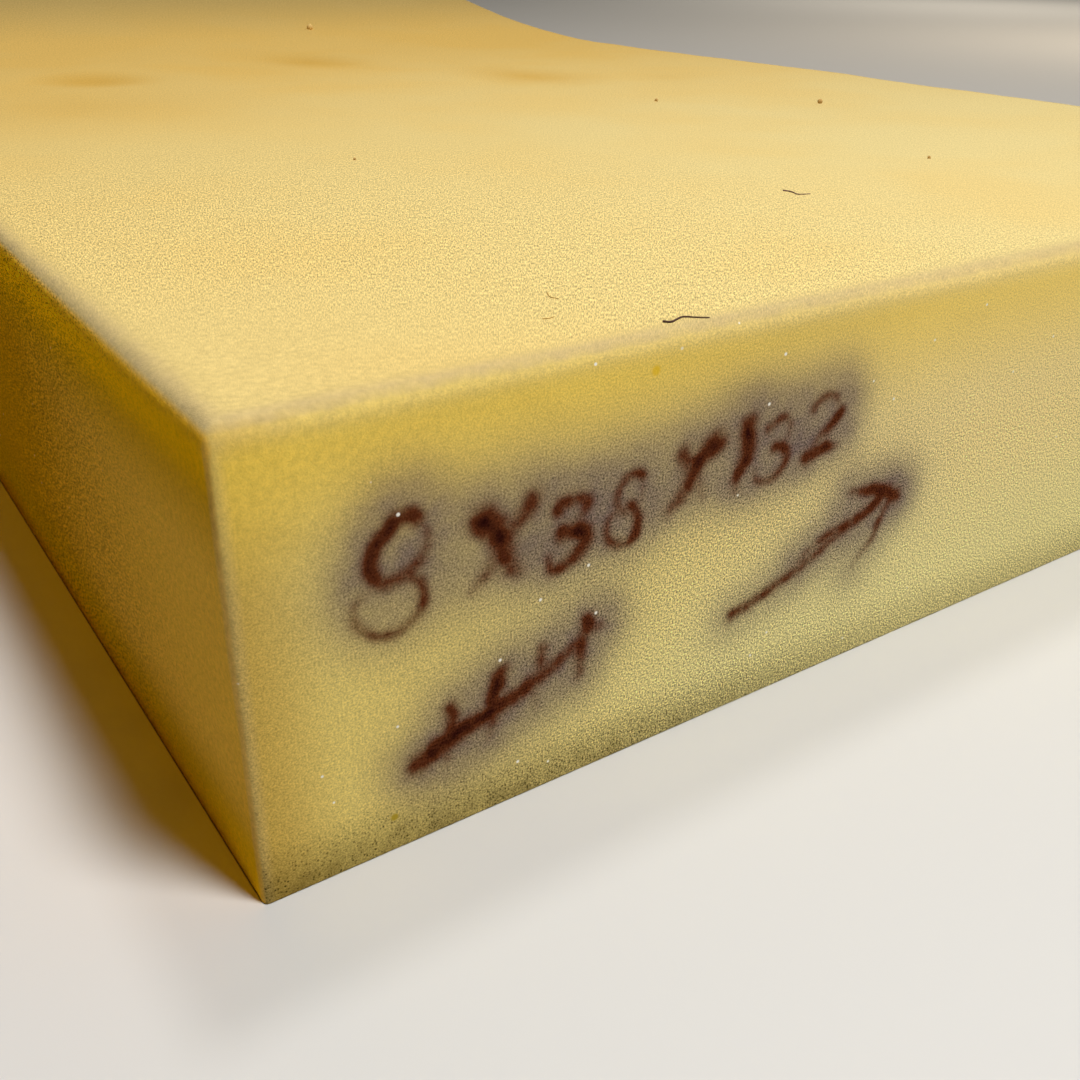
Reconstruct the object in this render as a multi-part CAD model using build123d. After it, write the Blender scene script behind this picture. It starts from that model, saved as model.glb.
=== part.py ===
"""A slab of yellow upholstery foam, cut square and lying on its broad face.

The slab lies flat behind its marked end, lifts off the table in one shallow bow
and comes down flat again at its far end. The section stays the same all along,
as it does when a soft slab bends. Lengths are in millimetres, angles in degrees.

X runs across the slab, Y along it away from the marked end, and Z up from the table.
"""

import os
from math import radians, sin

from build123d import *

# The slab as it was cut
thickness = 76.2
width = 381.0
cut_length = 1320.8

# How it lies: the flat run at the marked end, then a bow, measured along the middle of the thickness
near_run = 412.0
foot_radius = 888.0
crest_radius = 600.0
bow_slope = 12.0

# The cut edges are soft, and those round the two ends a little crisper than the long ones
edge_radius = 2.0
end_edge_share = 0.8

# The bow has a foot at each side of its crest, and each half of the crest turns back what a foot turned
half_bow_radii = foot_radius + crest_radius
bow_length = 2 * half_bow_radii * radians(bow_slope)
bow_span = 2 * half_bow_radii * sin(radians(bow_slope))
far_run = cut_length - near_run - bow_length
marked_end = -(near_run + bow_span + far_run) / 2
middle_height = thickness / 2


def make_foam_block():
    """Carry the rounded section of the slab along the line on which it lies."""
    with BuildPart() as slab:
        with BuildLine(Plane.YZ) as lying_line:
            near_flat = Line((marked_end, middle_height), (marked_end + near_run, middle_height))
            near_foot = JernArc(near_flat @ 1, near_flat % 1, foot_radius, bow_slope)
            crest = JernArc(near_foot @ 1, near_foot % 1, crest_radius, -2 * bow_slope)
            far_foot = JernArc(crest @ 1, crest % 1, foot_radius, bow_slope)
            Line(far_foot @ 1, far_foot @ 1 + far_run * (far_foot % 1))
        with BuildSketch(Plane(near_flat @ 0, x_dir=(1, 0, 0), z_dir=near_flat % 0)):
            RectangleRounded(width, thickness, edge_radius)
        sweep(path=lying_line.line)
        ends = slab.faces().sort_by(Axis.Y)[0].edges() + slab.faces().sort_by(Axis.Y)[-1].edges()
        fillet(ends, edge_radius * end_edge_share)
    return slab.part


foam_block = make_foam_block()
os.makedirs("parts", exist_ok=True)
export_step(foam_block, "parts/foam_block.step")

box = foam_block.bounding_box()
print("foam_block", "size", box.size, "volume", round(foam_block.volume), "far run", round(far_run, 1))
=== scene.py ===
# %% [markdown]
# A slab of yellow upholstery foam, three inches thick, lying on a pale table.
# The CAD model holds its true size and the way it lies: flat at the marked end, then one shallow bow.
# This notebook gives it the look of cut foam: open cells, soft dusty edges, stains, lint and felt pen marks.
# Lengths are in metres, in the same frame as the CAD model.

# %% Load the frame
from math import cos, inf, pi, radians, sin, tan

import bpy
import numpy as np
from mathutils import Matrix, Vector


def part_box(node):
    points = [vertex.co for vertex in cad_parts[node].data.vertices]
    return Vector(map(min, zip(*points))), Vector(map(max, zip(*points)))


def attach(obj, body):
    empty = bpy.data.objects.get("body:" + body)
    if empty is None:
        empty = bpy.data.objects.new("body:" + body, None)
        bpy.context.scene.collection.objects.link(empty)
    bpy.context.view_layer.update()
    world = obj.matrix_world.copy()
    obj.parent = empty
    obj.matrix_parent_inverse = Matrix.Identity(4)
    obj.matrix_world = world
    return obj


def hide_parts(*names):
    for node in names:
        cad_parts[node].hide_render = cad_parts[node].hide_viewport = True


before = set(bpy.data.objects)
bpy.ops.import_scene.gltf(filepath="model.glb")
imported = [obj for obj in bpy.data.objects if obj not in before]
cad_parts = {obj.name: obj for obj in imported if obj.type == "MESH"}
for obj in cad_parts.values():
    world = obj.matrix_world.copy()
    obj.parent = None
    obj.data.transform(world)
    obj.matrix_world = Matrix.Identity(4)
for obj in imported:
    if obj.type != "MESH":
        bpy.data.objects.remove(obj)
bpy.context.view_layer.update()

# %% [markdown]
# The sizes of the slab. Its width comes from the frame.
# Its thickness and the line on which it lies are those of the CAD model,
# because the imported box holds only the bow's top.
# The near corner is where the marked end meets the shaded long side on the table. It places the rest.

# %% Sizes of the slab
MM = 0.001
low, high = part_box("foam_block")
WIDTH = high[0] - low[0]
THICKNESS = 76.2 * MM
CUT_LENGTH = 1320.8 * MM
NEAR_RUN = 412.0 * MM
FOOT_RADIUS = 888.0 * MM
CREST_RADIUS = 600.0 * MM
BOW_SLOPE = radians(12.0)
EDGE_RADIUS = 2.0 * MM
MARKED_END = low[1]
NEAR_CORNER = Vector((low[0], MARKED_END, 0.0))
print("width", round(WIDTH, 4), "near corner", NEAR_CORNER)

# %% [markdown]
# The camera stands close to the near corner and looks down on it,
# like a person who reads the marks on the end. It could be aimed by eye.
# Here its place is given from the near corner, with the point that it looks at and a slight roll,
# so that the slab's edges run through the picture as they do on the real one.

# %% Camera
CLIP_START = 5 * MM
CAMERA_FROM_CORNER = Vector((-38.155, -123.286, 127.669)) * MM
AIM_FROM_CORNER = Vector((48.27, 0.0, 47.74)) * MM
CAMERA_ROLL = radians(1.234)
SENSOR = 36.0
LENS_SHARE = 1137.64 / 1080

camera_data = bpy.data.cameras.new("camera")
camera_data.sensor_fit = "HORIZONTAL"
camera_data.sensor_width = SENSOR
camera_data.lens = SENSOR * LENS_SHARE
camera_data.clip_start = CLIP_START
camera = bpy.data.objects.new("camera", camera_data)
bpy.context.scene.collection.objects.link(camera)
camera.location = NEAR_CORNER + CAMERA_FROM_CORNER
gaze = (AIM_FROM_CORNER - CAMERA_FROM_CORNER).to_track_quat("-Z", "Y").to_matrix().to_4x4()
camera.rotation_euler = (gaze @ Matrix.Rotation(CAMERA_ROLL, 4, "Z")).to_euler()
bpy.context.scene.camera = camera
bpy.context.scene.view_settings.view_transform = "Standard"
print("camera at", [round(v, 4) for v in camera.location], "lens", round(camera_data.lens, 2))

# %% [markdown]
# The stage is a plain pale table top.

# %% Table
TABLE_SIZE = 30.0
TABLE_COLOUR = (0.667, 0.663, 0.654, 1)
TABLE_ROUGHNESS, TABLE_SHINE = 0.6, 0.25


def deselect():
    """Leave the frame's selection behind, so that an operator acts on the new piece alone."""
    bpy.ops.object.select_all(action="DESELECT")


deselect()
bpy.ops.mesh.primitive_plane_add(size=TABLE_SIZE, location=(0, 0, 0))
table = bpy.context.object
table.name = "table"
table_finish = bpy.data.materials.new("pale_table")
table_finish.use_nodes = True
table_shader = table_finish.node_tree.nodes["Principled BSDF"]
table_shader.inputs["Base Color"].default_value = TABLE_COLOUR
table_shader.inputs["Roughness"].default_value = TABLE_ROUGHNESS
table_shader.inputs["Specular IOR Level"].default_value = TABLE_SHINE
table.data.materials.append(table_finish)
print("stage", table.name)

# %% [markdown]
# The light is soft. The main lamp stands above, a little to the front and right of the near corner,
# so the left side lies in its own shade, with a narrow soft shadow along its foot.
# A ceiling lamp stands further back, so the foot of the marked end has a faint shadow as well.
# Two warm lamps light the table behind.
# Foam lets some light through, and it leaves the shaded side golden.
# Following it through the block would take long, so a weak golden lamp as high as that side stands for it.
# It stands at the side's foot and leans out a little, so the table is lit right up to the foam.
# The room gives a little light from the back on the right.

# %% Light
MAIN_FROM_CORNER, MAIN_SIZE, MAIN_POWER = Vector((0.226, -0.36, 1.05)), 0.27, 11.5
MAIN_COLOUR, GLOW_COLOUR, ROOM_COLOUR = (1.0, 0.98, 0.95), (1.0, 0.46, 0.004), (1.0, 0.95, 0.85, 1)
HIGH_LAMPS = (("ceiling_lamp", Vector((0.42, 0.52, 2.0)), 0.28, 11.2, (0.83, 0.82, 0.79)),
              ("left_back_lamp", Vector((1.82, 0.69, 0.76)), 0.50, 5.2, (1.0, 0.83, 0.60)),
              ("right_back_lamp", Vector((2.54, 1.69, 0.94)), 0.50, 6.6, (1.0, 0.90, 0.74)))
GLOW_LENGTH, GLOW_HEIGHT, GLOW_POWER = 0.50, THICKNESS, 0.036
GLOW_GAP, GLOW_LEAN = 0.1 * MM, radians(3)
GLOW_AIM = Vector((-cos(GLOW_LEAN), 0, -sin(GLOW_LEAN)))
GLOW_FROM_CORNER = Vector((-GLOW_GAP - sin(GLOW_LEAN) * GLOW_HEIGHT / 2, GLOW_LENGTH / 2,
                           cos(GLOW_LEAN) * GLOW_HEIGHT / 2))
ROOM_BRIGHT, ROOM_DIM = 0.45, 0.0
ROOM_BRIGHT_SIDE = (0.75, 0.55, 0.37)
ROOM_DIM_FROM, ROOM_BRIGHT_FROM = 0.45, 0.95


def add_lamp(name, from_corner, aim, power, shade):
    """An area lamp, placed from the near corner and turned towards where it aims."""
    data = bpy.data.lights.new(name, "AREA")
    data.energy = power
    data.color = shade
    lamp = bpy.data.objects.new(name, data)
    bpy.context.scene.collection.objects.link(lamp)
    lamp.location = NEAR_CORNER + from_corner
    lamp.rotation_euler = aim.to_track_quat("-Z", "Y").to_euler()
    return lamp


main_lamp = add_lamp("main_lamp", MAIN_FROM_CORNER, -MAIN_FROM_CORNER, MAIN_POWER, MAIN_COLOUR)
main_lamp.data.shape, main_lamp.data.size = "DISK", MAIN_SIZE
for name, from_corner, size, power, shade in HIGH_LAMPS:
    high_lamp = add_lamp(name, from_corner, Vector((0, 0, -1)), power, shade)
    high_lamp.data.shape, high_lamp.data.size = "DISK", size
    high_lamp.visible_glossy = False
glow_lamp = add_lamp("glow_lamp", GLOW_FROM_CORNER, GLOW_AIM, GLOW_POWER, GLOW_COLOUR)
glow_lamp.data.shape, glow_lamp.data.size, glow_lamp.data.size_y = "RECTANGLE", GLOW_LENGTH, GLOW_HEIGHT
glow_lamp.visible_camera = False

world = bpy.data.worlds.new("soft_room")
world.use_nodes = True
room = world.node_tree
looking = room.nodes.new("ShaderNodeTexCoord")
turned = room.nodes.new("ShaderNodeVectorMath")
turned.operation = "DOT_PRODUCT"
turned.inputs[1].default_value = ROOM_BRIGHT_SIDE
room.links.new(looking.outputs["Generated"], turned.inputs[0])
rise = room.nodes.new("ShaderNodeMapRange")
rise.interpolation_type = "SMOOTHSTEP"
for socket, value in zip(rise.inputs[1:5], (ROOM_DIM_FROM, ROOM_BRIGHT_FROM, ROOM_DIM, ROOM_BRIGHT)):
    socket.default_value = value
room.links.new(turned.outputs["Value"], rise.inputs[0])
room.nodes["Background"].inputs["Color"].default_value = ROOM_COLOUR
room.links.new(rise.outputs[0], room.nodes["Background"].inputs["Strength"])
bpy.context.scene.world = world
print("light", main_lamp.name, [lamp[0] for lamp in HIGH_LAMPS], glow_lamp.name, world.name)

# %% [markdown]
# The slab starts as it was cut: a straight block.
# A cube is brought to the cut size, its edges get a small bevel, and its faces are divided,
# finely near the marked end that is seen close up and more coarsely further back.
# The bevel comes first, so that the dividing loops run over the rounded edges as well.
# The lower edges stay nearly sharp, because the slab's own weight presses them to the table,
# and the upright ones are crisper than the upper ones, which hands have rubbed.
# So each edge has a weight for the Bevel modifier.

# %% The straight block
RUBBED_RADIUS = 2.8 * MM
PRESSED_RADIUS = 0.4 * MM
UPRIGHT_RADIUS = 1.1 * MM
FINE_LENGTH = 460.0 * MM
FINE_STEP = 3.0 * MM
COARSE_STEP = 12.0 * MM
BEVEL_STEPS = 4
MOST_CUTS = 100
STRAIGHT_SHARE, LONG_EDGE = 0.999, 4 * EDGE_RADIUS

deselect()
bpy.ops.mesh.primitive_cube_add(size=1, location=(0, CUT_LENGTH / 2, 0))
foam = bpy.context.object
foam.name = "foam_slab"
foam.scale = (WIDTH, CUT_LENGTH, THICKNESS)
bpy.ops.object.transform_apply(location=True, rotation=True, scale=True)
weights = foam.data.attributes.new("bevel_weight_edge", "FLOAT", "EDGE")
for edge, weight in zip(foam.data.edges, weights.data):
    a, b = (foam.data.vertices[i].co for i in edge.vertices)
    radius = UPRIGHT_RADIUS if a.z * b.z < 0 else PRESSED_RADIUS if a.z < 0 else RUBBED_RADIUS
    weight.value = radius / RUBBED_RADIUS
rounding = foam.modifiers.new("rounding", "BEVEL")
rounding.limit_method, rounding.offset_type = "WEIGHT", "OFFSET"
rounding.width, rounding.segments = RUBBED_RADIUS, BEVEL_STEPS
bpy.ops.object.modifier_apply(modifier=rounding.name)
bpy.ops.object.mode_set(mode="EDIT")
bpy.ops.mesh.select_all(action="SELECT")
bpy.ops.mesh.bisect(plane_co=(0, FINE_LENGTH, 0), plane_no=(0, 1, 0))
bpy.ops.object.mode_set(mode="OBJECT")
foam.data.attributes.remove(foam.data.attributes["bevel_weight_edge"])


def start_selection(kind):
    """Clear the selection of the foam's mesh, for selecting in code by edge or by face."""
    bpy.ops.object.mode_set(mode="EDIT")
    bpy.ops.mesh.select_mode(type=kind)
    bpy.ops.mesh.select_all(action="DESELECT")
    bpy.ops.object.mode_set(mode="OBJECT")


def divide_along(axis, step, start=-inf, stop=inf):
    """Cut loops across the long edges that run along one axis, between two places on it."""
    mesh = foam.data
    start_selection("EDGE")
    longest = 0.0
    for edge in mesh.edges:
        a, b = (mesh.vertices[i].co for i in edge.vertices)
        along = abs(b[axis] - a[axis])
        middle = (a[axis] + b[axis]) / 2
        runs_along = along > STRAIGHT_SHARE * (b - a).length and along > LONG_EDGE
        edge.select = runs_along and start < middle < stop
        longest = max(longest, along * edge.select)
    pieces = round(longest / step)
    halve_first = pieces > MOST_CUTS
    bpy.ops.object.mode_set(mode="EDIT")
    bpy.ops.mesh.subdivide(number_cuts=1 if halve_first else pieces - 1)
    bpy.ops.object.mode_set(mode="OBJECT")
    return 2 * divide_along(axis, step, start, stop) if halve_first else pieces


steps_made = [
    divide_along(0, FINE_STEP),
    divide_along(2, FINE_STEP),
    divide_along(1, FINE_STEP, stop=FINE_LENGTH),
    divide_along(1, COARSE_STEP, start=FINE_LENGTH),
]
print("steps", steps_made, "faces", len(foam.data.polygons))

# %% [markdown]
# The part of the end that bears the marks gets a mesh four times finer, as the ink is painted on its points.
# The faces are selected by their place and divided once more.

# %% Finer mesh under the marks
MARKS_LEFT, MARKS_RIGHT = 4.0 * MM, 152.0 * MM
MARKS_LOW, MARKS_HIGH = 3.0 * MM, 73.0 * MM
MARK_CUTS = 3
ON_END_FACE = 0.01 * MM
CORNER_OF_BLOCK = Vector((-WIDTH / 2, 0, -THICKNESS / 2))

start_selection("FACE")
for face in foam.data.polygons:
    across, along, up = face.center - CORNER_OF_BLOCK
    in_marks = MARKS_LEFT < across < MARKS_RIGHT and MARKS_LOW < up < MARKS_HIGH
    face.select = along < ON_END_FACE and in_marks
bpy.ops.object.mode_set(mode="EDIT")
bpy.ops.mesh.subdivide(number_cuts=MARK_CUTS)
bpy.ops.object.mode_set(mode="OBJECT")
print("faces", len(foam.data.polygons), "triangles", sum(len(f.vertices) - 2 for f in foam.data.polygons))

# %% [markdown]
# Before the slab is bent, each point keeps its place in the straight block as an attribute,
# counted from the near corner. The finish reads that place, so dust follows the cut edges,
# and stains stay where they are, however the slab lies.

# %% Places in the straight block
point_count = len(foam.data.vertices)
places = np.zeros(3 * point_count, np.float32)
foam.data.vertices.foreach_get("co", places)
places = places.reshape(-1, 3) - np.array(CORNER_OF_BLOCK, np.float32)


def keep(name, kind, values):
    """Keep a value for each point of the foam as a named attribute."""
    attribute = foam.data.attributes.new(name, kind, "POINT")
    field = "vector" if kind == "FLOAT_VECTOR" else "value"
    attribute.data.foreach_set(field, values.astype(np.float32).ravel())


keep("cut_place", "FLOAT_VECTOR", places)
print("places kept for", point_count, "points")

# %% [markdown]
# The end was marked with a felt pen: the slab's size in whole centimetres,
# and below it a tally of five and an arrow. Places on the end are in millimetres, across and up.
# Each sign is drawn in a box one unit wide and high. A line is (start, end), and a loop is
# (middle, radii, the angle where the pen starts, the angle that it turns), with angles in degrees.
# Real letters from a font would look printed, so each sign is built from strokes, as the hand makes them.

# %% Strokes of the marks
SIGNS = {
    "1": [("line", (0.60, 1.0), (0.42, 0.0))],
    "2": [("loop", (0.42, 0.72), (0.40, 0.27), 165, -200), ("line", (0.80, 0.62), (0.08, 0.02)),
          ("line", (0.08, 0.02), (1.0, 0.10))],
    "3": [("loop", (0.40, 0.76), (0.40, 0.23), 160, -245), ("loop", (0.40, 0.27), (0.50, 0.27), 95, -265)],
    "8": [("loop", (0.52, 0.74), (0.34, 0.25), 60, 320), ("loop", (0.46, 0.26), (0.46, 0.26), 70, -330)],
    "x": [("line", (0.10, 0.95), (0.85, 0.08)), ("line", (0.95, 1.0), (0.0, -0.05))],
}
FIRST_ROW = [("8", 16.5, 39.5, 12.5, 18.0, 1.0), ("x", 36.5, 42.5, 9.0, 12.0, 1.6),
             ("3", 50.0, 41.5, 7.0, 12.0, 1.1), ("8", 61.0, 42.5, 7.0, 11.5, 0.9),
             ("x", 74.0, 46.0, 7.5, 10.0, 1.5), ("1", 86.5, 45.5, 4.0, 11.5, 1.2),
             ("3", 93.0, 46.0, 7.0, 11.5, 0.9), ("2", 104.0, 48.0, 8.5, 11.0, 1.0)]
TALLY_LEFT, TALLY_FOOT, TALLY_HEIGHT, TALLY_BARS = 31.0, 12.5, 10.5, 4
TALLY_STEP, TALLY_CLIMB = 8.5, 2.4
TALLY_LEAN, TALLY_OVERHANG, TALLY_BOLDNESS = 1.6, 5.0, 1.2
CROSS_LIFT, CROSS_RISE = 2.1, 3.5
ARROW = (((91.0, 20.5), (131.0, 33.5)), ((131.5, 34.0), (118.5, 38.5)), ((131.0, 33.0), (122.5, 20.5)),
         ((129.0, 34.5), (106.0, 27.0)))
ARROW_BOLDNESS = 1.2
SIGN_LEAN = 0.13
STROKE_POINTS = 48
WOBBLE, WOBBLE_TURNS, WOBBLE_SHIFT, WOBBLE_SKEW = 0.45, 1.4, 0.37, 0.8

share = np.linspace(0, 1, STROKE_POINTS)
strokes = []


def draw(points, boldness):
    """Add a stroke, with the slight waver of a hand that differs from stroke to stroke."""
    turn = 2 * pi * (WOBBLE_TURNS * share + WOBBLE_SHIFT * len(strokes))
    strokes.append((points + WOBBLE * np.stack([np.sin(turn), np.cos(WOBBLE_SKEW * turn)], axis=1), boldness))


def follow_line(start, end):
    """Points of a straight stroke."""
    return np.array(start) + share[:, None] * (np.array(end) - np.array(start))


def follow_loop(middle, radii, begin, turn):
    """Points of a round stroke."""
    angle = np.radians(begin + turn * share)
    return np.array(middle) + np.array(radii) * np.stack([np.cos(angle), np.sin(angle)], axis=1)


for sign, left, foot, sign_width, sign_height, boldness in FIRST_ROW:
    for kind, *values in SIGNS[sign]:
        points = follow_line(*values) if kind == "line" else follow_loop(*values)
        points = points * (sign_width, sign_height)
        points[:, 0] += SIGN_LEAN * points[:, 1]
        draw(points + (left, foot), boldness)
first_row_strokes = len(strokes)
for bar in range(TALLY_BARS):
    left, foot = TALLY_LEFT + bar * TALLY_STEP, TALLY_FOOT + bar * TALLY_CLIMB
    draw(follow_line((left + TALLY_LEAN, foot + TALLY_HEIGHT), (left, foot)), TALLY_BOLDNESS)
cross_left, cross_low = TALLY_LEFT - TALLY_OVERHANG, TALLY_FOOT + CROSS_LIFT
cross_right = TALLY_LEFT + (TALLY_BARS - 1) * TALLY_STEP + TALLY_OVERHANG
cross_high = cross_low + (TALLY_BARS * TALLY_CLIMB + CROSS_RISE)
draw(follow_line((cross_left, cross_low), (cross_right, cross_high)), TALLY_BOLDNESS)
for start, end in ARROW:
    draw(follow_line(start, end), ARROW_BOLDNESS)
print(len(strokes), "strokes")

# %% [markdown]
# The ink is painted on the points of the end. Near a stroke lies the core, where the ink is dense.
# Around it the ink crept through the cells: the bleed is a dark cloud along each stroke,
# which climbs in the first row, and the haze is a wide thin film,
# which grows where many strokes lie close together.
# The pen is pressed where a stroke begins and lifts towards its end,
# and each stroke is pressed a little differently.

# %% Ink
CORE_REACH, CORE_FALL, CORE_THIN, CORE_SPREAD = 1.6, 1.6, 0.6, 0.5
BLEED_REACH, BLEED_FALL, BLEED_SHARE, BLEED_CLIMB = 6.1, 2.1, 0.95, 2.0
HAZE_REACH, HAZE_SHARE = 13.0, 0.08
PRESSES = (1.0, 0.7, 0.88, 0.58, 0.8)
PEN_LIFT = 0.55
WELL_INKED = 0.3

marked = np.flatnonzero(places[:, 1] < EDGE_RADIUS)
spot = places[marked][:, (0, 2)] / MM
core, clear_of_bleed, clear_of_haze = np.zeros(len(marked)), np.ones(len(marked)), np.ones(len(marked))
for index, (stroke, boldness) in enumerate(strokes):
    press = PRESSES[index % len(PRESSES)] * (1 - PEN_LIFT * share ** 2)
    apart = np.linalg.norm(spot[:, None, :] - stroke[None, :, :], axis=2)
    core_width = CORE_REACH * boldness * (CORE_THIN + CORE_SPREAD * press)
    dense = np.exp(-((apart / core_width) ** CORE_FALL)) * press * boldness ** 0.5
    core = np.maximum(core, dense.max(axis=1))
    climb = BLEED_CLIMB if index < first_row_strokes else 0.0
    nearest = np.linalg.norm(spot[:, None, :] - stroke[None, :, :] - (0, climb), axis=2).min(axis=1)
    clear_of_bleed *= 1 - BLEED_SHARE * press.mean() * np.exp(-((nearest / BLEED_REACH) ** BLEED_FALL))
    clear_of_haze *= 1 - HAZE_SHARE * np.exp(-((nearest / HAZE_REACH) ** 2))
for name, amount in (("ink_core", core), ("ink_bleed", 1 - clear_of_bleed), ("ink_haze", 1 - clear_of_haze)):
    painted = np.zeros(point_count)
    painted[marked] = amount
    keep(name, "FLOAT", painted)
    print(name, "on", int((painted > WELL_INKED).sum()), "points")

# %% [markdown]
# Four shallow hollows cross the top where the slab starts to lift, each with a deeper orange stain,
# and a broad faint stain lies in front of them.
# A hollow is pressed in with proportional editing: the point nearest to its middle is moved down,
# and its neighbours follow with a smooth falloff.
# The stain is painted on the same points, and can be longer than wide.
# Each row has the middle across and along and the reach, in millimetres, how far the stain is stretched,
# the depth in millimetres and the stain's strength.

# %% Hollows and stains
HOLLOWS = (((86, 357), 32, 1.2, 0.9, 0.95), ((191, 394), 36, 1.6, 0.6, 0.75),
           ((247, 300), 40, 1.4, 0.5, 0.75), ((299, 272), 34, 1.0, 0.4, 0.35),
           ((60, 285), 100, 1.0, 0.4, 0.5))
stain = np.zeros(point_count)
on_top = places[:, 2] > THICKNESS - EDGE_RADIUS / 2
for (across, along), reach, stretch, depth, strength in HOLLOWS:
    middle = np.array((across * MM, along * MM))
    apart = np.linalg.norm((places[:, :2] - middle) / (1, stretch), axis=1) + (~on_top)
    start_selection("VERT")
    foam.data.vertices[int(apart.argmin())].select = True
    bpy.ops.object.mode_set(mode="EDIT")
    bpy.ops.transform.translate(value=(0, 0, -depth * MM), use_proportional_edit=True,
                                proportional_edit_falloff="SMOOTH", proportional_size=reach * MM)
    bpy.ops.object.mode_set(mode="OBJECT")
    stain = np.maximum(stain, strength * np.clip(1 - apart / (reach * MM), 0, 1))
keep("stain", "FLOAT", stain)
deepest = min(v.co.z for v, top in zip(foam.data.vertices, on_top) if top) - THICKNESS / 2
print("hollows, deepest", round(deepest / MM, 2), "mm")

# %% [markdown]
# Now the slab is laid down. A Bezier line has one point at each change of bend,
# with handles that make true arcs, and a Curve modifier carries the block along it.
# Moving each point by a formula would do the same, but a line can be drawn and corrected by hand.
# The line's tilt keeps the section upright.

# %% Lay the slab along its bow
LINE_TILT, LINE_STEPS = pi / 2, 64
foot_length, half_crest = FOOT_RADIUS * BOW_SLOPE, CREST_RADIUS * BOW_SLOPE
bends = [(NEAR_RUN, 0.0), (foot_length, BOW_SLOPE), (half_crest, -BOW_SLOPE), (half_crest, -BOW_SLOPE),
         (foot_length, BOW_SLOPE)]
bends.append((CUT_LENGTH - sum(length for length, _ in bends), 0.0))

line_data = bpy.data.curves.new("lying_line", "CURVE")
line_data.dimensions = "3D"
line_data.resolution_u = LINE_STEPS
spline = line_data.splines.new("BEZIER")
spline.bezier_points.add(len(bends))
place = Vector((0, MARKED_END, THICKNESS / 2))
heading = 0.0
for index, (length, turn) in enumerate(bends):
    here, there = spline.bezier_points[index], spline.bezier_points[index + 1]
    reach = length / 3 if turn == 0 else abs(4 / 3 * tan(turn / 4) * length / turn)
    chord = length if turn == 0 else 2 * length / turn * sin(turn / 2)
    way = heading + turn / 2
    here.co = place
    here.handle_right = place + reach * Vector((0, cos(heading), sin(heading)))
    place = place + chord * Vector((0, cos(way), sin(way)))
    heading += turn
    there.co = place
    there.handle_left = place - reach * Vector((0, cos(heading), sin(heading)))
for point in spline.bezier_points:
    point.handle_left_type = point.handle_right_type = "FREE"
    point.tilt = LINE_TILT
first, last = spline.bezier_points[0], spline.bezier_points[-1]
first.handle_left = first.co - Vector((0, NEAR_RUN / 3, 0))
last.handle_right = last.co + Vector((0, NEAR_RUN / 3, 0))
lying_line = bpy.data.objects.new("lying_line", line_data)
bpy.context.scene.collection.objects.link(lying_line)

bend = foam.modifiers.new("lie", "CURVE")
bend.object = lying_line
bend.deform_axis = "POS_Y"
deselect()
foam.select_set(True)
bpy.context.view_layer.objects.active = foam
bpy.ops.object.modifier_apply(modifier=bend.name)
bpy.data.objects.remove(lying_line)
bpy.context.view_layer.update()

# %% [markdown]
# Hand-cut foam is never quite true. Two Displace modifiers with cloud textures make the faces swell
# by a fraction of a millimetre and the edges waver.
# A vertex group keeps the underside out of it, so the slab still lies flat on the table.

# %% Uneven faces
SLOW_GRAIN, SLOW_DEPTH = 110 * MM, 1.6 * MM
ROUGH_GRAIN, ROUGH_DEPTH = 8 * MM, 0.35 * MM
CLOUD_DETAIL = 2
upper = foam.vertex_groups.new(name="upper")
upper.add(np.flatnonzero(places[:, 2] > EDGE_RADIUS).tolist(), 1.0, "REPLACE")


def waver(name, grain, depth):
    """Swell the foam softly by a cloud texture of one grain size."""
    clouds = bpy.data.textures.new(name, "CLOUDS")
    clouds.noise_scale = grain
    clouds.noise_depth = CLOUD_DETAIL
    swell = foam.modifiers.new(name, "DISPLACE")
    swell.texture = clouds
    swell.texture_coords = "LOCAL"
    swell.strength = depth
    swell.vertex_group = upper.name
    bpy.ops.object.modifier_apply(modifier=swell.name)


waver("slow_swell", SLOW_GRAIN, SLOW_DEPTH)
waver("rough_cut", ROUGH_GRAIN, ROUGH_DEPTH)
bpy.ops.object.shade_smooth()
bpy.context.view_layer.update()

# %% [markdown]
# The finish is one material, and its effects are node groups, each of which can be read and tried by itself.
# A few short helpers keep the wiring readable: a value may be a plain number or another node's output.

# %% Helpers for nodes
def feed(socket, value):
    """Set a socket to a constant, or link it to another node's output."""
    if isinstance(value, bpy.types.NodeSocket):
        socket.id_data.links.new(value, socket)
    else:
        socket.default_value = value


def calc(tree, operation, *values, clamp=False):
    """One Math node."""
    node = tree.nodes.new("ShaderNodeMath")
    node.operation = operation
    node.use_clamp = clamp
    for socket, value in zip(node.inputs, values):
        feed(socket, value)
    return node.outputs[0]


def times(tree, *values):
    """The product of several values."""
    product = values[0]
    for value in values[1:]:
        product = calc(tree, "MULTIPLY", product, value)
    return product


def fade(tree, value, start, stop, low=0.0, high=1.0):
    """A soft step from low at start to high at stop."""
    node = tree.nodes.new("ShaderNodeMapRange")
    node.interpolation_type = "SMOOTHSTEP"
    for socket, given in zip(node.inputs, (value, start, stop, low, high)):
        feed(socket, given)
    return node.outputs[0]


def tint(tree, share, below, above):
    """Lay one colour over another, by a share from 0 to 1."""
    node = tree.nodes.new("ShaderNodeMix")
    node.data_type = "RGBA"
    feed(node.inputs[0], share)
    feed(node.inputs[6], below)
    feed(node.inputs[7], above)
    return node.outputs[2]


def shaded(tree, base, light):
    """Darken or brighten a colour by a value around 1."""
    node = tree.nodes.new("ShaderNodeVectorMath")
    node.operation = "SCALE"
    feed(node.inputs[0], base)
    feed(node.inputs["Scale"], light)
    return node.outputs[0]


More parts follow.
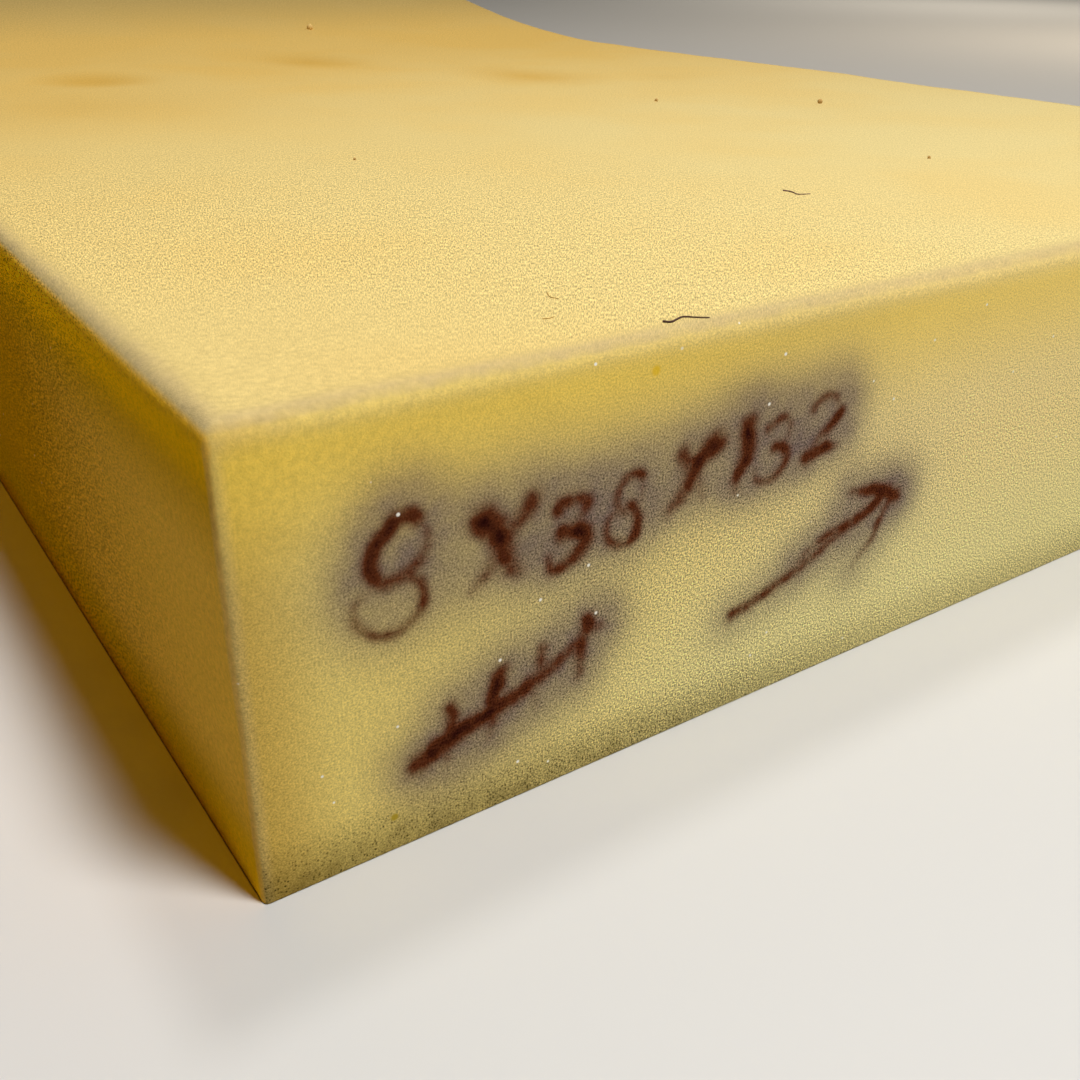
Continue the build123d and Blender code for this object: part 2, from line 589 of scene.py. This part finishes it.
def noise(tree, place, grain, detail=2.0, roughness=0.5):
    """Soft noise from 0 to 1, with grains of the given size, and finer ones by detail and roughness."""
    node = tree.nodes.new("ShaderNodeTexNoise")
    feed(node.inputs["Vector"], place)
    node.inputs["Scale"].default_value = 1 / grain
    node.inputs["Detail"].default_value = detail
    node.inputs["Roughness"].default_value = roughness
    return node.outputs[0]


def cells(tree, place, size):
    """A Voronoi pattern: the distance from each cell's middle, and a colour drawn for each cell."""
    node = tree.nodes.new("ShaderNodeTexVoronoi")
    feed(node.inputs["Vector"], place)
    node.inputs["Scale"].default_value = 1 / size
    return node.outputs["Distance"], node.outputs["Color"]


def parts_of(tree, vector):
    """The three numbers of a vector or a colour."""
    node = tree.nodes.new("ShaderNodeSeparateXYZ")
    feed(node.inputs[0], vector)
    return node.outputs


def kept(tree, name, output="Fac"):
    """A value that the points of the mesh keep."""
    node = tree.nodes.new("ShaderNodeAttribute")
    node.attribute_name = name
    return node.outputs[output]


def colour(red, green, blue):
    """A colour given as it looks on a screen, from 0 to 255, in the linear values that a shader takes."""
    shares = [v / 255 for v in (red, green, blue)]
    return tuple(v / 12.92 if v <= 0.04045 else ((v + 0.055) / 1.055) ** 2.4 for v in shares) + (1.0,)


def new_group(name, inputs, outputs):
    """An empty node group with named sockets, and the sockets of its inner input and output nodes."""
    tree = bpy.data.node_groups.new(name, "ShaderNodeTree")
    for direction, sockets in (("INPUT", inputs), ("OUTPUT", outputs)):
        for socket_name, kind in sockets.items():
            tree.interface.new_socket(socket_name, in_out=direction, socket_type="NodeSocket" + kind)
    return tree, tree.nodes.new("NodeGroupInput").outputs, tree.nodes.new("NodeGroupOutput").inputs


def use_group(tree, group, **values):
    """Place a node group, feed its inputs by name and return its outputs."""
    node = tree.nodes.new("ShaderNodeGroup")
    node.node_tree = group
    for socket_name, value in values.items():
        feed(node.inputs[socket_name], value)
    return node.outputs


print("helpers ready")

# %% [markdown]
# Where the foam was cut: this group tells how far a point of the surface is from the nearest cut edge,
# and on which faces it lies. On a block's surface one of the three distances to the faces is nought,
# so the middle one of the three is the distance to the edge.

# %% Group: edges and faces of the block
SIDE_FULL_SHARE = 0.1
block_faces, given, result = new_group("block_faces", {"Place": "Vector"}, {
    "Edge": "Float", "Top": "Float", "Side": "Float", "End": "Float"})
x, y, z = parts_of(block_faces, given["Place"])
near_x = calc(block_faces, "MINIMUM", x, calc(block_faces, "SUBTRACT", WIDTH, x))
near_y = calc(block_faces, "MINIMUM", y, calc(block_faces, "SUBTRACT", CUT_LENGTH, y))
near_z = calc(block_faces, "MINIMUM", z, calc(block_faces, "SUBTRACT", THICKNESS, z))
lesser = calc(block_faces, "MINIMUM", near_x, near_y)
greater = calc(block_faces, "MAXIMUM", near_x, near_y)
feed(result["Edge"], calc(block_faces, "MAXIMUM", lesser, calc(block_faces, "MINIMUM", greater, near_z)))
feed(result["Top"], fade(block_faces, z, THICKNESS - EDGE_RADIUS, THICKNESS - EDGE_RADIUS / 4))
side_reach = fade(block_faces, z, THICKNESS - 3 * EDGE_RADIUS, THICKNESS - EDGE_RADIUS,
                  UPRIGHT_RADIUS / 2, RUBBED_RADIUS / 3)
feed(result["Side"], fade(block_faces, near_x, side_reach, times(block_faces, side_reach, SIDE_FULL_SHARE)))
feed(result["End"], fade(block_faces, near_y, EDGE_RADIUS, EDGE_RADIUS / 4))
print("group", block_faces.name, len(block_faces.nodes), "nodes")

# %% [markdown]
# Cut foam shows its open cells as a fine grain, a third of a millimetre across.
# Soft noise with strong fine detail gives it,
# and a coarser noise the mottle of foam that hands have rubbed smooth.
# The top was brushed off from the marked end, which left a nap: short streaks that fan out over it.
# Turned and stretched noise would lay them all one way,
# so the noise reads the angle and the distance from a point instead.
# The pores, which show best near the table, are round and dark, and a Voronoi pattern draws those:
# some of its cells, picked by the colour drawn for each, are dark in the middle.
# A few cells of a coarse Voronoi pattern hold a glint: a painted highlight, where a tiny film of foam catches
# the light.

# %% Group: open cells
GRAIN_SIZE, NAP_SIZE, MOTTLE_SIZE = 0.34 * MM, 0.26 * MM, 1.1 * MM
GRAIN_DETAIL, GRAIN_ROUGHNESS, MOTTLE_DETAIL = 1.5, 0.65, 1
FAN_ACROSS, FAN_ALONG, FAN_REACH, NAP_LENGTH = -38.0 * MM, -123.0 * MM, 230.0 * MM, 5.0
PORE_SIZE, PORE_BORDER, PORE_PICK = 0.5 * MM, (0.5, 0.2), (0.2, 0.7)
GLINT_SIZE, GLINT_BORDER, GLINT_PICK = 5.0 * MM, (0.07, 0.035), (0.6, 0.65)
open_cells, given, result = new_group("open_cells", {"Place": "Vector"}, {
    "Grain": "Float", "Nap": "Float", "Mottle": "Float", "Pore": "Float", "Glint": "Float"})
grain = noise(open_cells, given["Place"], GRAIN_SIZE, GRAIN_DETAIL, GRAIN_ROUGHNESS)
feed(result["Grain"], calc(open_cells, "SUBTRACT", grain, 0.5))
x, y, z = parts_of(open_cells, given["Place"])
fan_x, fan_y = calc(open_cells, "SUBTRACT", x, FAN_ACROSS), calc(open_cells, "SUBTRACT", y, FAN_ALONG)
fan_squared = calc(open_cells, "MULTIPLY_ADD", fan_x, fan_x, times(open_cells, fan_y, fan_y))
fan_out = calc(open_cells, "SQRT", fan_squared)
fanned = open_cells.nodes.new("ShaderNodeCombineXYZ")
feed(fanned.inputs[0], times(open_cells, calc(open_cells, "ARCTAN2", fan_y, fan_x), FAN_REACH))
feed(fanned.inputs[1], calc(open_cells, "DIVIDE", fan_out, NAP_LENGTH))
feed(fanned.inputs[2], z)
nap = noise(open_cells, fanned.outputs[0], NAP_SIZE, GRAIN_DETAIL, GRAIN_ROUGHNESS)
feed(result["Nap"], calc(open_cells, "SUBTRACT", nap, 0.5))
mottle = noise(open_cells, given["Place"], MOTTLE_SIZE, MOTTLE_DETAIL)
feed(result["Mottle"], calc(open_cells, "SUBTRACT", mottle, 0.5))
distance, drawn = cells(open_cells, given["Place"], PORE_SIZE)
feed(result["Pore"], times(open_cells, fade(open_cells, distance, *PORE_BORDER),
                           fade(open_cells, parts_of(open_cells, drawn)[0], *PORE_PICK)))
distance, drawn = cells(open_cells, given["Place"], GLINT_SIZE)
feed(result["Glint"], times(open_cells, fade(open_cells, distance, *GLINT_BORDER),
                            fade(open_cells, parts_of(open_cells, drawn)[2], *GLINT_PICK)))
print("group", open_cells.name, len(open_cells.nodes), "nodes")

# %% [markdown]
# A speck is a small round fleck at one place of the surface: a drop of glue or a painted glint highlight.
# The place is in the straight block, and each speck keeps the stronger of itself and the specks before it.

# %% Group: speck
SPECK_BORDER = (1.0, 0.45)
speck, given, result = new_group("speck", {
    "Place": "Vector", "Middle": "Vector", "Radius": "Float", "Before": "Float"}, {"Mask": "Float"})
apart = speck.nodes.new("ShaderNodeVectorMath")
apart.operation = "DISTANCE"
feed(apart.inputs[0], given["Place"])
feed(apart.inputs[1], given["Middle"])
own = fade(speck, calc(speck, "DIVIDE", apart.outputs["Value"], given["Radius"]), *SPECK_BORDER)
feed(result["Mask"], calc(speck, "MAXIMUM", own, given["Before"]))
print("group", speck.name, len(speck.nodes), "nodes")

# %% [markdown]
# Now the finish itself: one material that reads a point's place in the straight block,
# its face and its cells. Light wanders inside foam before it comes out again.
# Subsurface scattering would show that, but it doubles the time and can't be seen at this size,
# so its golden glow is painted instead.
# Foam has hardly any shine, so nor has the shader.
# In the next cells each fade has a name and holds where it starts and stops,
# and its strength at both where that isn't 0 and 1.

# %% Foam finish
FOAM_ROUGHNESS = 0.95
BLOTCH_SIZE, BLOTCH_DETAIL = 60 * MM, 2
FRAY_SIZE, FRAY_DETAIL = 3.5 * MM, 3

foam_finish = bpy.data.materials.new("cut_foam")
foam_finish.use_nodes = True
foam.data.materials.clear()
foam.data.materials.append(foam_finish)
tree = foam_finish.node_tree
shader = tree.nodes["Principled BSDF"]
shader.inputs["Roughness"].default_value = FOAM_ROUGHNESS
shader.inputs["Specular IOR Level"].default_value = 0.0
place = kept(tree, "cut_place", "Vector")
face = use_group(tree, block_faces, Place=place)
cell = use_group(tree, open_cells, Place=place)
blotch = noise(tree, place, BLOTCH_SIZE, BLOTCH_DETAIL)
frayed = noise(tree, place, FRAY_SIZE, FRAY_DETAIL)
across, along, up = parts_of(tree, place)
below_top = calc(tree, "SUBTRACT", THICKNESS, up)
from_corner = calc(tree, "SQRT", calc(tree, "MULTIPLY_ADD", across, across, times(tree, along, along)))
print("finish", foam_finish.name, len(tree.nodes), "nodes")

# %% [markdown]
# The top is pale yellow, warmer towards the shaded side, with faint blotches.
# It deepens to orange further back, and past the bow's foot it gets painted shade, a duller colour.

# %% Colour of the top
PALE, WARM, DEEP = colour(219, 200, 140), colour(217, 193, 126), colour(223, 185, 103)
FAR_SHADE = colour(177, 154, 98)
PALE_ACROSS = (0 * MM, 260 * MM)
BLOTCHES = (0.35, 0.75, 0.0, 0.25)
DEEP_ALONG = (100 * MM, 480 * MM, 0.0, 0.9)
FAR_SHADE_ALONG = (470 * MM, 640 * MM)

base = tint(tree, fade(tree, across, *PALE_ACROSS), WARM, PALE)
cloudy = calc(tree, "ADD", fade(tree, blotch, *BLOTCHES), fade(tree, along, *DEEP_ALONG), clamp=True)
base = tint(tree, cloudy, base, DEEP)
# Painted shade on the top past the bow's foot.
base = tint(tree, fade(tree, along, *FAR_SHADE_ALONG), base, FAR_SHADE)
print("with the top", len(tree.nodes), "nodes")

# %% [markdown]
# The marked end has painted shade beside the near upright edge, is painted paler further right where more
# light falls, and is olive low down.
# Below its upper edge runs a painted golden glow, where light comes through from the top.

# %% Colour of the end
END_PALE, END_WARM, END_GOLD = colour(242, 219, 150), colour(239, 214, 122), colour(249, 212, 88)
END_SHADED, END_OLIVE = colour(201, 164, 72), colour(234, 225, 158)
END_PALE_ACROSS = (10 * MM, 150 * MM)
END_SHADED_ACROSS = (16 * MM, 1 * MM, 0.0, 0.8)
OLIVE_UP = (48 * MM, 8 * MM)
OLIVE_ACROSS = (20 * MM, 100 * MM, 0.0, 0.75)
GOLD_BELOW_TOP = (28 * MM, 3 * MM)
GOLD_AT_EDGE = (6 * MM, 0.5 * MM, 1.0, 0.4)
GOLD_ACROSS = (20 * MM, 180 * MM, 0.9, 0.6)

# Painted light makes the end paler to the right, and painted shade darkens it beside the near upright edge.
end_colour = tint(tree, fade(tree, across, *END_PALE_ACROSS), END_WARM, END_PALE)
end_colour = tint(tree, fade(tree, across, *END_SHADED_ACROSS), end_colour, END_SHADED)
low_right = times(tree, fade(tree, up, *OLIVE_UP), fade(tree, across, *OLIVE_ACROSS))
end_colour = tint(tree, low_right, end_colour, END_OLIVE)
# Painted glow below the upper edge, for light that comes through from the top.
lit_through = times(tree, fade(tree, below_top, *GOLD_BELOW_TOP), fade(tree, below_top, *GOLD_AT_EDGE),
                    fade(tree, across, *GOLD_ACROSS))
end_colour = tint(tree, lit_through, end_colour, END_GOLD)
base = tint(tree, face["End"], base, end_colour)
print("with the end", len(tree.nodes), "nodes")

# %% [markdown]
# The colours of the long sides are painted shade with a painted golden glow of light that comes through the
# foam.
# That painted glow is paler near the marked end and brightest below the upper edge and above the table.
# The stains of the hollows lie over the colours of all faces.

# %% Colour of the sides, and the stains
SIDE_FAR, SIDE_NEAR = colour(200, 142, 9), colour(240, 187, 68)
SIDE_GOLD, SIDE_LIT = colour(212, 158, 3), colour(255, 192, 8)
STAIN = colour(208, 161, 64)
SIDE_NEAR_ALONG = (130 * MM, 0 * MM)
SIDE_GOLD_FROM_LEVEL = (24 * MM, 5 * MM, 0.0, 0.9)
SIDE_LIT_BELOW_TOP = (12 * MM, 2 * MM)
SIDE_LIT_UP = (14 * MM, 1 * MM, 0.0, 0.75)
STAINED = (0.05, 0.9, 0.0, 0.6)

# Painted shade and painted glow: the side colours stand for light coming through the foam.
side_colour = tint(tree, fade(tree, along, *SIDE_NEAR_ALONG), SIDE_FAR, SIDE_NEAR)
from_level = calc(tree, "MINIMUM", up, below_top)
side_colour = tint(tree, fade(tree, from_level, *SIDE_GOLD_FROM_LEVEL), side_colour, SIDE_GOLD)
side_lit = calc(tree, "MAXIMUM", fade(tree, below_top, *SIDE_LIT_BELOW_TOP), fade(tree, up, *SIDE_LIT_UP))
side_colour = tint(tree, side_lit, side_colour, SIDE_LIT)
base = tint(tree, face["Side"], base, side_colour)
base = tint(tree, fade(tree, kept(tree, "stain"), *STAINED), base, STAIN)
print("with the sides", len(tree.nodes), "nodes")

# %% [markdown]
# Grey dust sits in the frayed cells along the upper edges,
# less of it on the upright faces and least on the sides.
# A faint line of it runs down the upright edges of the end, and the end's foot by the table gets painted
# shade.

# %% Dust and rim
DUST, RIM_SHADE = colour(201, 177, 128), colour(120, 100, 44)
FRAYS = (0.2, 0.8)
DUST_FROM_EDGE = (5.0 * MM, 0.8 * MM)
DUST_BELOW_TOP = (6 * MM, 2 * MM)
DUST_FRAYED = (0.45, 0.8)
DUST_UPRIGHT = (0.0, 0.8, 1.0, 0.5)
DUST_FROM_UPRIGHT_EDGE = (2.5 * MM, 0.6 * MM, 0.0, 0.3)
SIDE_LOSS = -0.7
LOW_END_ACROSS = (50 * MM, 150 * MM, 1.0, 0.45)
RIM_UP = (12 * MM, 0.5 * MM)
RIM_FRAYED = (0.43, 0.72)

upright = calc(tree, "SUBTRACT", 1.0, face["Top"])
on_end = times(tree, upright, calc(tree, "SUBTRACT", 1.0, face["Side"]))
off_side = calc(tree, "MULTIPLY_ADD", face["Side"], SIDE_LOSS, 1.0)
near_upright = calc(tree, "MINIMUM", across, calc(tree, "SUBTRACT", WIDTH, across))
dust = times(tree, fade(tree, face["Edge"], *DUST_FROM_EDGE), fade(tree, frayed, *FRAYS, *DUST_FRAYED),
             off_side, fade(tree, upright, *DUST_UPRIGHT), fade(tree, below_top, *DUST_BELOW_TOP))
upright_dust = times(tree, face["End"], upright, fade(tree, near_upright, *DUST_FROM_UPRIGHT_EDGE))
base = tint(tree, calc(tree, "MAXIMUM", dust, upright_dust), base, DUST)
low_end = times(tree, on_end, fade(tree, across, *LOW_END_ACROSS))
# Painted shade along the end's foot by the table, strongest near the near corner.
rim = times(tree, fade(tree, up, *RIM_UP), fade(tree, frayed, *FRAYS, *RIM_FRAYED), low_end)
base = tint(tree, rim, base, RIM_SHADE)
print("with dust and rim", len(tree.nodes), "nodes")

# %% [markdown]
# The ink lies over the foam and the dust: first the haze, then the bleed, then the core,
# which is brown where it is thin and nearly black where the pen was pressed.
# The frayed noise breaks up its borders.

# %% Ink on the end
HAZE_GREY, BLEED_GREY = colour(137, 137, 124), colour(126, 108, 98)
INK_BROWN, INK_DARK = colour(94, 48, 25), colour(44, 14, 11)
BLEED_FRAYED = (0.85, 1.1)
CORE_FRAYED = (0.25, 0.75, 0.7, 1.2)
BROWN_SOAKED, DARK_SOAKED = (0.05, 0.75), (0.6, 1.2)

bleed = times(tree, kept(tree, "ink_bleed"), fade(tree, frayed, *FRAYS, *BLEED_FRAYED))
base = tint(tree, kept(tree, "ink_haze"), base, HAZE_GREY)
base = tint(tree, bleed, base, BLEED_GREY)
soaked = times(tree, kept(tree, "ink_core"), fade(tree, frayed, *CORE_FRAYED))
base = tint(tree, fade(tree, soaked, *BROWN_SOAKED), base, INK_BROWN)
base = tint(tree, fade(tree, soaked, *DARK_SOAKED), base, INK_DARK)
print("with ink", len(tree.nodes), "nodes")

# %% [markdown]
# The cells brighten and darken the colour.
# On the end they show most low down, away from the near corner and in ink.
# On the top and the sides the nap shows most at middle distance and fades out further back.
# The pores show darker at the end's foot, and the worn edges of the top are a little darker.

# %% Grain of the faces
GRAIN_BELOW_TOP = (3 * MM, 42 * MM, 0.9, 3.4)
GRAIN_UP = (14 * MM, 3 * MM, 1.0, 1.4)
GRAIN_FROM_CORNER = (5 * MM, 90 * MM, 0.36, 1.22)
GRAIN_IN_INK = 1.7
TOP_NAP_NEAR, TOP_NAP_FAR = (15 * MM, 85 * MM, 0.32, 2.6), (105 * MM, 230 * MM, 1.0, 0.25)
TOP_NAP_FROM_EDGE = (2 * MM, 7 * MM, 0.35, 1.0)
SIDE_NAP_NEAR, SIDE_NAP_FAR = (8 * MM, 105 * MM, 0.5, 4.5), (95 * MM, 160 * MM, 1.0, 0.45)
MOTTLE_FROM_CORNER = (80 * MM, 15 * MM, 0.0, 0.35)
WORN_FROM_EDGE = (8 * MM, 1 * MM, 0.0, -0.08)
PITTED_UP = (16 * MM, 1 * MM, 0.0, 0.65)
DARKEST = 0.1

end_grain = times(tree, fade(tree, below_top, *GRAIN_BELOW_TOP), fade(tree, up, *GRAIN_UP),
                  fade(tree, from_corner, *GRAIN_FROM_CORNER), on_end)
inked_grain = calc(tree, "MULTIPLY_ADD", bleed, GRAIN_IN_INK, end_grain)
top_nap = times(tree, fade(tree, from_corner, *TOP_NAP_NEAR), fade(tree, from_corner, *TOP_NAP_FAR),
                fade(tree, face["Edge"], *TOP_NAP_FROM_EDGE), face["Top"])
side_nap = times(tree, fade(tree, along, *SIDE_NAP_NEAR), fade(tree, along, *SIDE_NAP_FAR), face["Side"])
mottled = times(tree, cell["Mottle"], fade(tree, from_corner, *MOTTLE_FROM_CORNER))
fleck = calc(tree, "MULTIPLY_ADD", cell["Grain"], inked_grain, mottled)
fleck = calc(tree, "MULTIPLY_ADD", cell["Nap"], calc(tree, "ADD", top_nap, side_nap), fleck)
worn_edge = times(tree, fade(tree, face["Edge"], *WORN_FROM_EDGE), face["Top"])
pitted = times(tree, cell["Pore"], low_end, fade(tree, up, *PITTED_UP))
light = calc(tree, "ADD", calc(tree, "ADD", fleck, worn_edge), calc(tree, "SUBTRACT", 1.0, pitted))
base = shaded(tree, base, calc(tree, "MAXIMUM", light, DARKEST))
print("with grain", len(tree.nodes), "nodes")

# %% [markdown]
# Two drops of old glue and some painted glint highlights are on the end,
# each given by its place across and up in millimetres.
# The grain also makes a slight bump, and then the colour goes to the shader.

# %% Drops, glints and bump
DROPS = ((69.0, 70.5, 1.1, colour(238, 197, 60)), (21.9, 6.6, 0.9, colour(187, 161, 55)))
GLINTS = ((24.8, 58.3), (48.9, 36.9), (59.9, 30.9), (41.4, 28.5), (44.8, 7.3), (58.0, 40.3), (96.4, 68.3),
          (94.0, 60.1))
GLINT_RADIUS, GLINT_WHITE = 0.4, colour(255, 251, 238)
BUMP_STRENGTH, BUMP_DEPTH = 0.35, 0.25 * MM


def speckled(spots, onto, shade):
    """Lay small round spots over a colour."""
    mask = 0.0
    for middle, radius in spots:
        mask = use_group(tree, speck, Place=place, Middle=middle, Radius=radius, Before=mask)["Mask"]
    return tint(tree, mask, onto, shade)


for x, z, radius, shade in DROPS:
    base = speckled([((x * MM, 0.0, z * MM), radius * MM)], base, shade)
# Painted highlights: the listed glints on the end, then glints from the open cells, fewer on the sides.
base = speckled([((x * MM, 0.0, z * MM), GLINT_RADIUS * MM) for x, z in GLINTS], base, GLINT_WHITE)
base = tint(tree, times(tree, cell["Glint"], off_side), base, GLINT_WHITE)
feed(shader.inputs["Base Color"], base)

bump = tree.nodes.new("ShaderNodeBump")
bump.inputs["Strength"].default_value = BUMP_STRENGTH
bump.inputs["Distance"].default_value = BUMP_DEPTH
feed(bump.inputs["Height"], cell["Grain"])
feed(shader.inputs["Normal"], bump.outputs["Normal"])
print("finished", foam_finish.name, len(tree.nodes), "nodes")

# %% [markdown]
# Lint from the workshop lies on the top: two dark wavy fibres near the marked end and two short pale hairs.
# Each is a soft curve through a few points, thickened by a round bevel that tapers, and then made a mesh.
# A ray cast straight down finds the height of the foam at each point, so every fibre rests on it.

# %% Lint
FIBRES = (
    ("dark_fibre", 0.32, ((73.4, 4.6), (74.3, 3.8), (75.8, 4.2), (77.5, 4.6), (78.9, 3.5), (81.0, 2.4))),
    ("grey_fibre", 0.30, ((163.1, 68.3), (163.6, 66.2), (163.1, 63.4), (165.8, 62.3))),
    ("pale_hair", 0.14, ((67.7, 27.2), (66.7, 24.6), (67.3, 23.3))),
    ("pale_hair", 0.14, ((58.8, 15.6), (60.0, 15.4), (61.1, 15.7))),
)
THICK_END, THIN_END = 1.2, 0.55
LINT_ROUGHNESS, FIBRE_ROUNDING = 0.8, 2
LINT_COLOURS = {
    "dark_fibre": colour(84, 58, 46), "grey_fibre": colour(128, 100, 88), "pale_hair": colour(196, 156, 76),
    "dark_crumb": colour(196, 158, 92), "pale_crumb": colour(232, 196, 120)}
lint_finishes = {}
for name, shade in LINT_COLOURS.items():
    lint_finishes[name] = bpy.data.materials.new(name)
    lint_finishes[name].use_nodes = True
    lint_shader = lint_finishes[name].node_tree.nodes["Principled BSDF"]
    lint_shader.inputs["Base Color"].default_value = shade
    lint_shader.inputs["Roughness"].default_value = LINT_ROUGHNESS


def on_foam(across, along):
    """The point of the foam's top at a place given from the near corner in millimetres."""
    return foam.ray_cast(NEAR_CORNER + Vector((across * MM, along * MM, 2 * THICKNESS)), (0, 0, -1))[1]


def hand_over_lint(piece, name):
    """Give a bit of lint its finish, and let it move with the foam."""
    piece.data.materials.append(lint_finishes[name])
    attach(piece, "root")
    print(piece.name, len(piece.data.polygons), "faces")


for number, (name, thickness, points) in enumerate(FIBRES, 1):
    deselect()
    bpy.ops.curve.primitive_bezier_curve_add(location=(0, 0, 0))
    fibre = bpy.context.object
    fibre.name = f"lint_{number}"
    spline = fibre.data.splines[0]
    spline.bezier_points.add(len(points) - 2)
    for index, (point, (across, along)) in enumerate(zip(spline.bezier_points, points)):
        point.co = on_foam(across, along) + Vector((0, 0, thickness / 2 * MM))
        point.handle_left_type = point.handle_right_type = "AUTO"
        point.radius = THICK_END + (THIN_END - THICK_END) * index / (len(points) - 1)
    fibre.data.bevel_depth = thickness / 2 * MM
    fibre.data.bevel_resolution = FIBRE_ROUNDING
    fibre.data.use_fill_caps = True
    bpy.ops.object.convert(target="MESH")
    hand_over_lint(bpy.context.object, name)

# %% [markdown]
# A few crumbs of foam and dirt lie further back. Each is a small ball, pressed a little into the foam.

# %% Crumbs
CRUMBS = (("dark_crumb", 294, 180, 0.9), ("dark_crumb", 243, 211, 0.6), ("dark_crumb", 231, 81, 0.45),
          ("dark_crumb", 94, 151, 0.35), ("pale_crumb", 240, 500, 1.6))
CRUMB_SUNK, CRUMB_STEPS = 0.35, 3

for number, (name, across, along, radius) in enumerate(CRUMBS, 1):
    deselect()
    bpy.ops.mesh.primitive_ico_sphere_add(subdivisions=CRUMB_STEPS, radius=radius * MM, location=(0, 0, 0))
    crumb = bpy.context.object
    crumb.name = f"crumb_{number}"
    crumb.location = on_foam(across, along) + Vector((0, 0, (1 - CRUMB_SUNK) * radius * MM))
    bpy.ops.object.transform_apply(location=True, rotation=True, scale=True)
    bpy.ops.object.shade_smooth()
    hand_over_lint(crumb, name)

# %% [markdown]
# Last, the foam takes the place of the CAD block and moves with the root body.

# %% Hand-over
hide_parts("foam_block")
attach(foam, "root")
